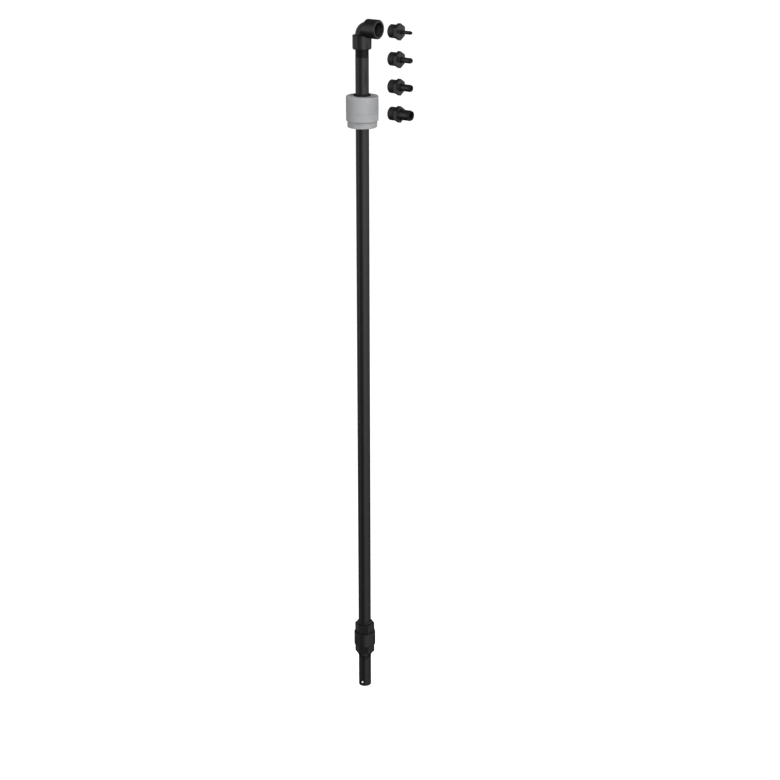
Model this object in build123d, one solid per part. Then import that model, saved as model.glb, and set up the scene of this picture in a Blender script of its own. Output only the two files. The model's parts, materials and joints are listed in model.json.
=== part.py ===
from build123d import *
import os
from math import cos, radians, tan

# Suction lance for drums, with its bung, foot valve and a set of four hose tails.
# Millimetres. The origin is on the bung's axis at the upper end of its thread, just under the shoulder
# that rests on the drum. +Z runs up the pipe and +X points out of the elbow's outlet.

# Fits between pieces
RUNNING_GAP = 0.05          # radial, shaft in hole
FACE_GAP = 0.2              # between faces that meet at the end of a travel
SNUG_GAP = 0.03             # between pieces that are screwed or pressed together
OVERSHOOT = 1.0             # how far a cutting solid runs past the face it opens
OVERLAP = 0.1               # how far two stretches of one piece run into each other

# Edges
FINE_CHAMFER = 0.3
EDGE_CHAMFER = 0.6
THREAD_CHAMFER = 1.0
SOFT_EDGE = 0.8             # radius of a moulded edge
HEX_TURN_DOWN = 0.35        # how far inside its flats a hexagon's end is turned
HEX_CHAMFER = 0.8

# 3/4 inch pipe, and the parallel threads that go with it
PIPE_R = 13.335
PIPE_BORE_R = 9.425
PIPE_THREAD_R = 13.5
OUTLET_THREAD_R = 13.22
THREAD_LENGTH = 16.0
EXPOSED_THREAD = 15.5       # pipe thread that shows below the elbow
WASHER_THICK = 2.0

# Elbow: two equal sockets joined by a bend of the pipe's own size
ELBOW_Z = 182.2
SOCKET_R = 18.77
SOCKET_START = 13.35
SOCKET_END = 41.0
SOCKET_CHAMFER = 1.5        # round the outside of the mouth
SOCKET_DEPTH = 17.0         # from the mouth to the washer's seat
SOCKET_FLOOR = SOCKET_END - SOCKET_DEPTH
UNDERCUT = 0.45             # the washer's seat is this much wider than the thread
UNDERCUT_END = SOCKET_FLOOR + WASHER_THICK + 0.3
NECK_R = 13.25
ELBOW_BORE_R = 9.4

# Bung: a 2 inch thread under a tall round head, closed by a cap over an upstand
BUNG_THREAD_R = 29.807
BUNG_THREAD_END = -12.0
BUNG_THREAD_TOP = 0.2
BUNG_LIP_R = 14.635         # inward lip that keeps the bush in
SHOULDER_Z = 1.0
RELIEF_R = 29.0             # neck between the thread and the shoulder
GASKET_R = 30.75
GASKET_THICK = 1.2
BUNG_R = 32.2
CAP_R = 32.35
CAP_EDGE = 1.3
BUNG_SPLIT_Z = 17.3
BUNG_TOP_Z = 49.7
UPSTAND_R = 26.0
UPSTAND_TOP_Z = 37.0
CAP_PLATE_Z = 42.0          # underside of the cap's top
GLAND_WASHER_THICK = 1.6
BUSH_R = 18.0
BUSH_BOTTOM_Z = -8.8
BUSH_TOP_Z = 14.8
GROMMET_NECK_R = 15.6
GROMMET_FLANGE_R = 22.0
GROMMET_LIP_R = 17.15
GROMMET_LIP_HEIGHT = 3.8
GROMMET_LIP_CROWN = 2.2     # radius over the top of the lip

# Foot valve: upper hexagon, collar, lower hexagon
VALVE_TOP_Z = -1092.5
VALVE_HEX_R = 21.05         # across corners
VALVE_FLAT_R = VALVE_HEX_R * cos(radians(30))
VALVE_HEX_TOP_Z = -1097.4
VALVE_LIP_R = 14.3          # narrow end of the cone beyond each hexagon
VALVE_CONE_R = 17.3         # wide end of the upper cone, over a narrow neck
VALVE_CONE_Z = -1095.8
VALVE_NECK_R = 15.6
LOWER_CONE_R = 17.6
COLLAR_R = 22.8
COLLAR_TOP_Z = -1118.0
COLLAR_BOTTOM_Z = -1147.4
FLANGE_R = 22.6             # thin flange of the upper half, resting on the collar
FLANGE_THICK = 0.9
COLLAR_UNDERCUT = 1.2       # height of the slope under the collar
LOWER_HEX_BOTTOM_Z = -1166.5
VALVE_BOTTOM_Z = -1173.0
VALVE_SPIGOT_R = 17.4
VALVE_SPIGOT_END_Z = -1133.0
VALVE_SPIGOT_BORE_R = 14.4
FUNNEL_START = 4.0          # below the pipe's end, where the way widens
FUNNEL_HEIGHT = 4.0
O_RING_DROP = 3.2           # centre of its groove, below the flange's top
O_RING_GROOVE_HEIGHT = 2.2
O_RING_GROOVE_DEPTH = 1.5
O_RING_SECTION_R = 0.75
CHAMBER_R = 15.0
SEAT_Z = -1152.0
SEAT_BORE_R = 8.8

# Poppet, the guide that carries its stem, and its spring
GUIDE_THICK = 3.0
GUIDE_HUB_R = 5.2
GUIDE_HUB_RISE = 5.0
GUIDE_RIM_WIDTH = 2.9
SPOKE_WIDTH = 2.4
SPOKE_SINK = 0.5            # how far a spoke runs into the hub and the rim
STEM_R = 3.0
STEM_RISE = 9.0             # how far the stem stands above the guide
POPPET_R = 12.0
POPPET_THICK = 3.0
POPPET_NOSE = 1.2           # spigot that holds the seal
NOSE_GAP = 0.6              # radial, in the seat's bore
SEAL_THICK = 1.4
SEAL_LIFT = 0.1             # seal above its seat
SPRING_WIRE_R = 0.4
SPRING_COIL_R = 4.7
SPRING_TURNS = 4.5

# Tail pipe
TAIL_TOP_Z = -1157.5
TAIL_THREAD_END_Z = -1181.0
TAIL_END_Z = -1246.5
CROSS_HOLE_R = 4.25
CROSS_HOLE_RISE = 9.4

# Hose tails: they wait in a column beside the elbow, the smallest in line with its outlet
TAIL_FACE_X = 69.4
TAIL_SPACING = 53.2
TAIL_HEX_R = 16.6
TAIL_HEX_THICK = 7.5
TAIL_HEX_CHAMFER = 1.0
TAIL_BARB_LENGTH = 25.8
TAIL_RELIEF_DEPTH = 1.3
TAIL_RELIEF_WIDTH = 1.8
TAIL_WIDE_BORE_R = 9.025
TAIL_WIDE_BORE_DEPTH = 14.0
SHANK_STEP = 0.25           # the barb stands this far proud of its shank
BARB_SETBACK = 5.4          # from the tip to the barb's crest
BARB_LAND = 1.4
BARB_TAPER = 1.3
ROOT_FILLET = 1.5           # where the shank leaves the hexagon
HOSE_TAILS = {              # hose size: radius over the barb, bore radius
    "06": (3.65, 1.9),
    "10": (5.55, 3.3),
    "13": (7.10, 4.7),
    "19": (10.45, 8.0),
}


def turned(*corners):
    """Solid of revolution about Z from corners (radius, height) or (radius, height, rounding)."""
    points = [(corner[0], 0, corner[1]) for corner in corners]
    rounding = [corner[2] if len(corner) > 2 else 0 for corner in corners]
    outline = FilletPolyline(*points, radius=rounding, close=True)
    return revolve(make_face(outline), Axis.Z)


def tube(outer_r, inner_r, low, high):
    """Plain ring or pipe about Z."""
    return turned((inner_r, low), (outer_r, low), (outer_r, high), (inner_r, high))


def rod(radius, low, high):
    """Plain round bar about Z."""
    return turned((0, low), (radius, low), (radius, high), (0, high))


def hexagon(corner_r, low, high, low_chamfer, high_chamfer):
    """Spanner hexagon about Z, corners on the Y axis, turned down at each end by the given heights."""
    end_r = corner_r * cos(radians(30)) - HEX_TURN_DOWN
    wide_r = corner_r + 0.05
    prism = extrude(Plane.XY.offset(low) * RegularPolygon(corner_r, 6, rotation=30), high - low)
    low_end = [(end_r, low), (wide_r, low + low_chamfer)] if low_chamfer else [(wide_r, low)]
    high_end = [(wide_r, high - high_chamfer), (end_r, high)] if high_chamfer else [(wide_r, high)]
    return prism & turned((0, low), *low_end, *high_end, (0, high))


def outward(piece, start_x, height):
    """Lay a piece made about Z along X, its zero end at start_x."""
    return Pos(start_x, 0, height) * Rot(0, 90, 0) * piece


def down_from_elbow(piece):
    """Point a piece made about Z downwards, its zero end at the elbow's corner."""
    return Pos(0, 0, ELBOW_Z) * Rot(180, 0, 0) * piece


def bent_bar(radius):
    """Round bar up the inlet socket, round the bend and out along the outlet socket."""
    reach = (SOCKET_FLOOR + SOCKET_END) / 2
    inlet_end = (0, 0, ELBOW_Z - reach)
    outlet_end = (reach, 0, ELBOW_Z)
    path = FilletPolyline(inlet_end, (0, 0, ELBOW_Z), outlet_end, radius=SOCKET_START)
    return sweep(Plane(inlet_end, z_dir=(0, 0, 1)) * Circle(radius), path)


def elbow_socket():
    """Outside of one socket, about Z, measured from the elbow's corner."""
    return turned(
        (0, SOCKET_START),
        (SOCKET_R, SOCKET_START, SOFT_EDGE),
        (SOCKET_R, SOCKET_END - SOCKET_CHAMFER, EDGE_CHAMFER),
        (SOCKET_R - SOCKET_CHAMFER, SOCKET_END),
        (0, SOCKET_END),
    )


def socket_bore(thread_r):
    """Inside of one socket: the washer's seat, the thread and the chamfer at the mouth."""
    mouth_r = thread_r + THREAD_CHAMFER
    return turned(
        (0, SOCKET_FLOOR),
        (thread_r + UNDERCUT, SOCKET_FLOOR),
        (thread_r + UNDERCUT, UNDERCUT_END),
        (thread_r, UNDERCUT_END),
        (thread_r, SOCKET_END - THREAD_CHAMFER),
        (mouth_r, SOCKET_END),
        (mouth_r, SOCKET_END + OVERSHOOT),
        (0, SOCKET_END + OVERSHOOT),
    )


def elbow():
    outside = down_from_elbow(elbow_socket()) + outward(elbow_socket(), 0, ELBOW_Z) + bent_bar(NECK_R)
    inlet_bore = down_from_elbow(socket_bore(PIPE_THREAD_R + SNUG_GAP))
    outlet_bore = outward(socket_bore(OUTLET_THREAD_R + RUNNING_GAP), 0, ELBOW_Z)
    return outside - bent_bar(ELBOW_BORE_R) - inlet_bore - outlet_bore


def socket_washer():
    """Flat ring held in a socket's undercut, about Z, measured from the elbow's corner."""
    return tube(OUTLET_THREAD_R + UNDERCUT, ELBOW_BORE_R, SOCKET_FLOOR, SOCKET_FLOOR + WASHER_THICK)


def elbow_inlet_washer():
    return down_from_elbow(socket_washer())


def elbow_outlet_washer():
    return outward(socket_washer(), 0, ELBOW_Z)


def suction_tube():
    top = ELBOW_Z - SOCKET_FLOOR - WASHER_THICK
    thread_bottom = ELBOW_Z - SOCKET_END - EXPOSED_THREAD
    bottom = VALVE_TOP_Z - THREAD_LENGTH
    return turned(
        (PIPE_BORE_R, bottom),
        (PIPE_R - EDGE_CHAMFER, bottom),
        (PIPE_R, bottom + EDGE_CHAMFER),
        (PIPE_R, thread_bottom - FINE_CHAMFER),
        (PIPE_THREAD_R, thread_bottom),
        (PIPE_THREAD_R, top - THREAD_CHAMFER),
        (PIPE_THREAD_R - THREAD_CHAMFER, top),
        (PIPE_BORE_R, top),
    )


def bung_body():
    bush_hole_r = BUSH_R + RUNNING_GAP
    bush_seat_z = BUSH_BOTTOM_Z - FACE_GAP
    groove_r = GASKET_R + SNUG_GAP
    groove_z = SHOULDER_Z + GASKET_THICK
    return turned(
        (BUNG_LIP_R, BUNG_THREAD_END),
        (BUNG_THREAD_R - THREAD_CHAMFER, BUNG_THREAD_END),
        (BUNG_THREAD_R, BUNG_THREAD_END + THREAD_CHAMFER),
        (BUNG_THREAD_R, BUNG_THREAD_TOP),
        (RELIEF_R, BUNG_THREAD_TOP + FINE_CHAMFER),
        (RELIEF_R, groove_z),
        (groove_r, groove_z),
        (groove_r, SHOULDER_Z),
        (BUNG_R - FINE_CHAMFER, SHOULDER_Z),
        (BUNG_R, SHOULDER_Z + FINE_CHAMFER),
        (BUNG_R, BUNG_SPLIT_Z - FINE_CHAMFER),
        (BUNG_R - FINE_CHAMFER, BUNG_SPLIT_Z),
        (UPSTAND_R, BUNG_SPLIT_Z),
        (UPSTAND_R, UPSTAND_TOP_Z - THREAD_CHAMFER),
        (UPSTAND_R - THREAD_CHAMFER, UPSTAND_TOP_Z),
        (bush_hole_r, UPSTAND_TOP_Z),
        (bush_hole_r, bush_seat_z),
        (BUNG_LIP_R, bush_seat_z),
    )


def bung_gasket():
    """Sealing ring in a groove under the head, pressed flush with the shoulder."""
    return tube(GASKET_R, RELIEF_R + SNUG_GAP, SHOULDER_Z, SHOULDER_Z + GASKET_THICK)


def bung_cap():
    hole_r = GROMMET_NECK_R + SNUG_GAP
    skirt_r = UPSTAND_R + SNUG_GAP
    skirt_z = BUNG_SPLIT_Z + SNUG_GAP
    return turned(
        (skirt_r, skirt_z),
        (CAP_R - FINE_CHAMFER, skirt_z),
        (CAP_R, skirt_z + FINE_CHAMFER),
        (CAP_R, BUNG_TOP_Z, CAP_EDGE),
        (hole_r, BUNG_TOP_Z, EDGE_CHAMFER),
        (hole_r, CAP_PLATE_Z),
        (skirt_r, CAP_PLATE_Z),
    )


def gland_washer():
    """Stiff ring between the cap and the grommet's flange."""
    low = CAP_PLATE_Z - GLAND_WASHER_THICK
    return tube(UPSTAND_R - FINE_CHAMFER, GROMMET_NECK_R + SNUG_GAP, low, CAP_PLATE_Z)


def pipe_grommet():
    """Rubber gland: a plug above the bush, a flange under the cap and the lip that shows above it."""
    inner_r = PIPE_R + RUNNING_GAP
    plug_z = BUSH_TOP_Z + FACE_GAP
    flange_top = CAP_PLATE_Z - GLAND_WASHER_THICK
    lip_top = BUNG_TOP_Z + GROMMET_LIP_HEIGHT
    return turned(
        (inner_r, plug_z),
        (BUSH_R, plug_z),
        (BUSH_R, UPSTAND_TOP_Z),
        (GROMMET_FLANGE_R, UPSTAND_TOP_Z),
        (GROMMET_FLANGE_R, flange_top),
        (GROMMET_NECK_R, flange_top),
        (GROMMET_NECK_R, BUNG_TOP_Z),
        (GROMMET_LIP_R, BUNG_TOP_Z, SOFT_EDGE),
        (GROMMET_LIP_R, lip_top, GROMMET_LIP_CROWN),
        (inner_r, lip_top, EDGE_CHAMFER),
    )


def guide_bush():
    inner_r = PIPE_R + RUNNING_GAP
    return turned(
        (inner_r, BUSH_BOTTOM_Z),
        (BUSH_R, BUSH_BOTTOM_Z),
        (BUSH_R, BUSH_TOP_Z),
        (inner_r + THREAD_CHAMFER, BUSH_TOP_Z),
        (inner_r, BUSH_TOP_Z - THREAD_CHAMFER),
    )


def valve_top():
    """Upper half of the foot valve: hexagon, pipe socket and the spigot that screws into the lower half."""
    flange_bottom = COLLAR_TOP_Z - FLANGE_THICK
    solid = hexagon(VALVE_HEX_R, flange_bottom, VALVE_HEX_TOP_Z, 0, HEX_CHAMFER)
    solid += turned(
        (0, VALVE_HEX_TOP_Z - OVERLAP),
        (VALVE_NECK_R, VALVE_HEX_TOP_Z - OVERLAP),
        (VALVE_NECK_R, VALVE_CONE_Z),
        (VALVE_CONE_R, VALVE_CONE_Z, FINE_CHAMFER),
        (VALVE_LIP_R, VALVE_TOP_Z),
        (0, VALVE_TOP_Z),
    )
    solid += rod(FLANGE_R, flange_bottom, COLLAR_TOP_Z)
    solid += rod(VALVE_SPIGOT_R, VALVE_SPIGOT_END_Z, flange_bottom)
    socket_r = PIPE_R + SNUG_GAP
    socket_floor = VALVE_TOP_Z - THREAD_LENGTH
    funnel_z = socket_floor - FUNNEL_START
    solid -= turned(
        (0, VALVE_TOP_Z + OVERSHOOT),
        (socket_r + FINE_CHAMFER, VALVE_TOP_Z + OVERSHOOT),
        (socket_r + FINE_CHAMFER, VALVE_TOP_Z),
        (socket_r, VALVE_TOP_Z - FINE_CHAMFER),
        (socket_r, socket_floor),
        (PIPE_BORE_R, socket_floor),
        (PIPE_BORE_R, funnel_z),
        (VALVE_SPIGOT_BORE_R, funnel_z - FUNNEL_HEIGHT),
        (VALVE_SPIGOT_BORE_R, VALVE_SPIGOT_END_Z - OVERSHOOT),
        (0, VALVE_SPIGOT_END_Z - OVERSHOOT),
    )
    groove_low = COLLAR_TOP_Z - O_RING_DROP - O_RING_GROOVE_HEIGHT / 2
    groove_r = VALVE_SPIGOT_R - O_RING_GROOVE_DEPTH
    return solid - tube(VALVE_SPIGOT_R + OVERSHOOT, groove_r, groove_low, groove_low + O_RING_GROOVE_HEIGHT)


def valve_o_ring():
    centre = (VALVE_SPIGOT_R - O_RING_SECTION_R + 0.01, 0, COLLAR_TOP_Z - O_RING_DROP)
    return revolve(Plane(centre, x_dir=(1, 0, 0), z_dir=(0, -1, 0)) * Circle(O_RING_SECTION_R), Axis.Z)


def valve_body():
    """Lower half of the foot valve: collar, hexagon, poppet chamber and tail-pipe socket."""
    top = COLLAR_TOP_Z - FLANGE_THICK - FACE_GAP
    slope_z = COLLAR_BOTTOM_Z - COLLAR_UNDERCUT
    solid = turned(
        (0, slope_z),
        (VALVE_FLAT_R + SOFT_EDGE, slope_z),
        (COLLAR_R, COLLAR_BOTTOM_Z, EDGE_CHAMFER),
        (COLLAR_R, top - EDGE_CHAMFER),
        (COLLAR_R - EDGE_CHAMFER, top),
        (0, top),
    )
    solid += hexagon(VALVE_HEX_R, LOWER_HEX_BOTTOM_Z, slope_z + EDGE_CHAMFER, HEX_CHAMFER, 0)
    solid += turned(
        (0, VALVE_BOTTOM_Z),
        (VALVE_LIP_R, VALVE_BOTTOM_Z),
        (LOWER_CONE_R, LOWER_HEX_BOTTOM_Z),
        (LOWER_CONE_R, LOWER_HEX_BOTTOM_Z + OVERLAP),
        (0, LOWER_HEX_BOTTOM_Z + OVERLAP),
    )
    spigot_hole_r = VALVE_SPIGOT_R + SNUG_GAP
    socket_r = PIPE_THREAD_R + SNUG_GAP
    guide_ledge = VALVE_SPIGOT_END_Z - GUIDE_THICK - SNUG_GAP
    hollow = turned(
        (0, top + OVERSHOOT),
        (spigot_hole_r, top + OVERSHOOT),
        (spigot_hole_r, guide_ledge),
        (CHAMBER_R, guide_ledge),
        (CHAMBER_R, SEAT_Z),
        (SEAT_BORE_R, SEAT_Z),
        (SEAT_BORE_R, TAIL_TOP_Z),
        (socket_r, TAIL_TOP_Z),
        (socket_r, VALVE_BOTTOM_Z + FINE_CHAMFER),
        (socket_r + FINE_CHAMFER, VALVE_BOTTOM_Z),
        (socket_r + FINE_CHAMFER, VALVE_BOTTOM_Z - OVERSHOOT),
        (0, VALVE_BOTTOM_Z - OVERSHOOT),
    )
    return solid - hollow


def poppet_guide():
    """Rim, hub and three spokes; the hub holds the poppet's stem."""
    top = VALVE_SPIGOT_END_Z - SNUG_GAP / 2
    bottom = top - GUIDE_THICK
    rim_r = VALVE_SPIGOT_R - OVERLAP
    rim = tube(rim_r, rim_r - GUIDE_RIM_WIDTH, bottom, top)
    guide = rim + tube(GUIDE_HUB_R, STEM_R + RUNNING_GAP, bottom, top + GUIDE_HUB_RISE)
    spoke_start = GUIDE_HUB_R - SPOKE_SINK
    spoke_length = rim_r - GUIDE_RIM_WIDTH + SPOKE_SINK - spoke_start
    spoke_centre = Pos(spoke_start + spoke_length / 2, 0, (bottom + top) / 2)
    for turn in (30, 150, 270):
        guide += Rot(0, 0, turn) * spoke_centre * Box(spoke_length, SPOKE_WIDTH, GUIDE_THICK)
    return guide


def poppet():
    back = SEAT_Z + SEAL_LIFT + SEAL_THICK
    nose_r = SEAT_BORE_R - NOSE_GAP
    front = back + POPPET_THICK
    stem_top = VALVE_SPIGOT_END_Z + STEM_RISE
    return turned(
        (0, back - POPPET_NOSE),
        (nose_r, back - POPPET_NOSE),
        (nose_r, back),
        (POPPET_R, back, FINE_CHAMFER),
        (POPPET_R, front, EDGE_CHAMFER),
        (STEM_R + THREAD_CHAMFER, front + EDGE_CHAMFER),
        (STEM_R, front + EDGE_CHAMFER + THREAD_CHAMFER),
        (STEM_R, stem_top - THREAD_CHAMFER),
        (STEM_R - THREAD_CHAMFER, stem_top),
        (0, stem_top),
    )


def poppet_seal():
    low = SEAT_Z + SEAL_LIFT
    nose_r = SEAT_BORE_R - NOSE_GAP
    return tube(POPPET_R - FINE_CHAMFER, nose_r + RUNNING_GAP, low, low + SEAL_THICK - 0.02)


def poppet_spring():
    low = SEAT_Z + SEAL_LIFT + SEAL_THICK + POPPET_THICK + SPRING_WIRE_R + EDGE_CHAMFER
    high = VALVE_SPIGOT_END_Z - GUIDE_THICK - SPRING_WIRE_R - FACE_GAP
    height = high - low
    path = Pos(0, 0, low) * Helix(pitch=height / SPRING_TURNS, height=height, radius=SPRING_COIL_R)
    section = Plane(path @ 0, z_dir=path % 0) * Circle(SPRING_WIRE_R)
    return sweep(section, path, is_frenet=True)


def tail_pipe():
    top = TAIL_TOP_Z - OVERLAP
    solid = turned(
        (PIPE_BORE_R, TAIL_END_Z),
        (PIPE_R - FINE_CHAMFER, TAIL_END_Z),
        (PIPE_R, TAIL_END_Z + FINE_CHAMFER),
        (PIPE_R, TAIL_THREAD_END_Z - FINE_CHAMFER),
        (PIPE_THREAD_R, TAIL_THREAD_END_Z),
        (PIPE_THREAD_R, top - THREAD_CHAMFER),
        (PIPE_THREAD_R - THREAD_CHAMFER, top),
        (PIPE_BORE_R, top),
    )
    drill = Pos(0, 0, TAIL_END_Z + CROSS_HOLE_RISE) * Rot(90, 0, 0) * Cylinder(CROSS_HOLE_R, 3 * PIPE_R)
    return solid - drill


def hose_tail(barb_r, bore_r):
    """Male thread, hexagon and a hose tail with one barb near its tip, about Z."""
    relief_r = OUTLET_THREAD_R - TAIL_RELIEF_DEPTH
    relief_start = THREAD_LENGTH - TAIL_RELIEF_WIDTH
    shank_start = THREAD_LENGTH + TAIL_HEX_THICK
    tip = shank_start + TAIL_BARB_LENGTH
    shank_r = barb_r - SHANK_STEP
    barb_start = tip - BARB_SETBACK
    taper_end = TAIL_WIDE_BORE_DEPTH + (TAIL_WIDE_BORE_R - bore_r) * tan(radians(30))
    solid = turned(
        (0, 0),
        (OUTLET_THREAD_R - THREAD_CHAMFER, 0),
        (OUTLET_THREAD_R, THREAD_CHAMFER),
        (OUTLET_THREAD_R, relief_start),
        (relief_r, relief_start + EDGE_CHAMFER),
        (relief_r, THREAD_LENGTH + OVERLAP),
        (0, THREAD_LENGTH + OVERLAP),
    )
    solid += hexagon(TAIL_HEX_R, THREAD_LENGTH, shank_start, TAIL_HEX_CHAMFER, 0)
    solid += turned(
        (0, shank_start - OVERLAP),
        (shank_r + ROOT_FILLET, shank_start - OVERLAP),
        (shank_r + ROOT_FILLET, shank_start),
        (shank_r, shank_start, ROOT_FILLET - RUNNING_GAP),
        (shank_r, barb_start - SHANK_STEP),
        (barb_r, barb_start),
        (barb_r, barb_start + BARB_LAND),
        (barb_r - BARB_TAPER, tip, FINE_CHAMFER),
        (0, tip),
    )
    solid -= turned(
        (0, -OVERSHOOT),
        (TAIL_WIDE_BORE_R, -OVERSHOOT),
        (TAIL_WIDE_BORE_R, TAIL_WIDE_BORE_DEPTH),
        (bore_r, taper_end),
        (bore_r, tip + OVERSHOOT),
        (0, tip + OVERSHOOT),
    )
    return Rot(0, 0, 90) * solid


NODES = {
    "elbow": elbow(),
    "elbow_inlet_washer": elbow_inlet_washer(),
    "elbow_outlet_washer": elbow_outlet_washer(),
    "suction_tube": suction_tube(),
    "bung_body": bung_body(),
    "bung_gasket": bung_gasket(),
    "bung_cap": bung_cap(),
    "gland_washer": gland_washer(),
    "pipe_grommet": pipe_grommet(),
    "guide_bush": guide_bush(),
    "valve_top": valve_top(),
    "valve_o_ring": valve_o_ring(),
    "valve_body": valve_body(),
    "poppet_guide": poppet_guide(),
    "poppet": poppet(),
    "poppet_seal": poppet_seal(),
    "poppet_spring": poppet_spring(),
    "tail_pipe": tail_pipe(),
}
for place, (size, (barb_r, bore_r)) in enumerate(HOSE_TAILS.items()):
    column_z = ELBOW_Z - place * TAIL_SPACING
    NODES["hose_tail_" + size] = outward(hose_tail(barb_r, bore_r), TAIL_FACE_X, column_z)

os.makedirs("parts", exist_ok=True)
for name, solid in NODES.items():
    export_step(solid, f"parts/{name}.step")
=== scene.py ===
import json
from math import cos, floor, pi, radians, sin, tan

import bmesh
import bpy
from mathutils import Matrix, Vector


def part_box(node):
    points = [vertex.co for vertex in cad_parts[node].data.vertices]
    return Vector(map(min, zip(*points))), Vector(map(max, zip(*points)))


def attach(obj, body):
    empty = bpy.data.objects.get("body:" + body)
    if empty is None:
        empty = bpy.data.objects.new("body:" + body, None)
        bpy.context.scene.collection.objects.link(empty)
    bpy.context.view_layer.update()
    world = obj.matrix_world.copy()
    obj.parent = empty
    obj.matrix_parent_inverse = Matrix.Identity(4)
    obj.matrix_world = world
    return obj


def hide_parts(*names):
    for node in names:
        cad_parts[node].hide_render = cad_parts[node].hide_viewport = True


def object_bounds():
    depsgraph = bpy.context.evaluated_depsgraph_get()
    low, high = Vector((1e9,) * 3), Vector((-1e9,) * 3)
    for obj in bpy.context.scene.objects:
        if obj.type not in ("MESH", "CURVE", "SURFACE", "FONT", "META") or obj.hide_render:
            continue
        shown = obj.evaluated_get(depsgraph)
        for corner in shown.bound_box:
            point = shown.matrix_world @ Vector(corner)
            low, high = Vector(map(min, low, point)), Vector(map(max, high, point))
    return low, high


# Looks of a drum suction lance: dip pipe, elbow, bung, foot valve, tail pipe and four hose tails.
# Everything is in metres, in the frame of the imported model; MM turns millimetres into metres.

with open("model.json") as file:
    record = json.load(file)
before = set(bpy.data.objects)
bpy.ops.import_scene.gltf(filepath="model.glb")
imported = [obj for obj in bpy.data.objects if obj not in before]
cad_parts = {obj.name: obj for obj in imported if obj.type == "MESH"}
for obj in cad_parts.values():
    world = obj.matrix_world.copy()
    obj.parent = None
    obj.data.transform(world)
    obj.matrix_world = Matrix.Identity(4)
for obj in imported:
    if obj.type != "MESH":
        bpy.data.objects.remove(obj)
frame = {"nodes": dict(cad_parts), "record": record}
cad_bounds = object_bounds()
MM = 0.001


# ---------------------------------------------------------------- camera

VIEW_AZIMUTH = radians(35.665)      # how far the viewer stands round from the front
VIEW_PITCH = radians(19.171)        # how far the viewer looks down
VIEW_DISTANCE = 3.6708              # level distance to the pipe
VIEW_SIDE = 0.0548                  # viewer's step to the right
VIEW_HEIGHT = 0.7120                # above the bung's thread
LENS = 86.32


def place_camera():
    data = bpy.data.cameras.new("studio_camera")
    data.lens = LENS
    data.sensor_width = 36.0
    data.clip_start = 0.05
    data.clip_end = 200.0
    camera = bpy.data.objects.new("studio_camera", data)
    bpy.context.scene.collection.objects.link(camera)
    back = Vector((sin(VIEW_AZIMUTH), -cos(VIEW_AZIMUTH), 0))
    right = Vector((cos(VIEW_AZIMUTH), sin(VIEW_AZIMUTH), 0))
    camera.location = back * VIEW_DISTANCE + right * VIEW_SIDE + Vector((0, 0, VIEW_HEIGHT))
    camera.rotation_euler = (pi / 2 - VIEW_PITCH, 0, VIEW_AZIMUTH)
    bpy.context.scene.camera = camera


place_camera()


# ---------------------------------------------------------------- material building blocks

def add_node(tree, kind, label=None, **settings):
    node = tree.nodes.new(kind)
    if label:
        node.label = label
    for key, value in settings.items():
        setattr(node, key, value)
    return node


def wire(tree, source, socket, target, name):
    tree.links.new(source.outputs[socket], target.inputs[name])


def math_node(tree, operation, first, second=None, clamp=False):
    """A Math node; each input is a number or a (node, socket) pair."""
    node = add_node(tree, "ShaderNodeMath", operation=operation, use_clamp=clamp)
    for place, value in enumerate((first, second)):
        if value is None:
            continue
        if isinstance(value, tuple):
            tree.links.new(value[0].outputs[value[1]], node.inputs[place])
        else:
            node.inputs[place].default_value = value
    return node


def map_range(tree, source, socket, low, high, to_low=0.0, to_high=1.0):
    node = add_node(tree, "ShaderNodeMapRange")
    node.inputs["From Min"].default_value = low
    node.inputs["From Max"].default_value = high
    node.inputs["To Min"].default_value = to_low
    node.inputs["To Max"].default_value = to_high
    tree.links.new(source.outputs[socket], node.inputs["Value"])
    return node


def noise(tree, coordinates, socket, size, detail=4.0, roughness=0.55, stretch=(1, 1, 1)):
    """Noise whose blobs are about size metres across, stretched along each axis."""
    mapping = add_node(tree, "ShaderNodeMapping")
    mapping.inputs["Scale"].default_value = [1.0 / (size * s) for s in stretch]
    tree.links.new(coordinates.outputs[socket], mapping.inputs["Vector"])
    node = add_node(tree, "ShaderNodeTexNoise", noise_dimensions="3D")
    node.inputs["Scale"].default_value = 1.0
    node.inputs["Detail"].default_value = detail
    node.inputs["Roughness"].default_value = roughness
    tree.links.new(mapping.outputs["Vector"], node.inputs["Vector"])
    return node


def new_group(name, inputs, outputs):
    """An empty node group with float inputs {name: default} and float outputs."""
    group = bpy.data.node_groups.new(name, "ShaderNodeTree")
    for label, default in inputs.items():
        socket = group.interface.new_socket(name=label, in_out="INPUT", socket_type="NodeSocketFloat")
        socket.default_value = default
    for label in outputs:
        group.interface.new_socket(name=label, in_out="OUTPUT", socket_type="NodeSocketFloat")
    return group, group.nodes.new("NodeGroupInput"), group.nodes.new("NodeGroupOutput")


def scaled_coordinates(tree, entry, coordinates, label):
    """Object coordinates divided by a size input, so that the size is in metres."""
    inverse = math_node(tree, "DIVIDE", 1.0, (entry, label))
    scale = add_node(tree, "ShaderNodeVectorMath", operation="SCALE")
    tree.links.new(coordinates.outputs["Object"], scale.inputs[0])
    tree.links.new(inverse.outputs[0], scale.inputs["Scale"])
    return scale


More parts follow.
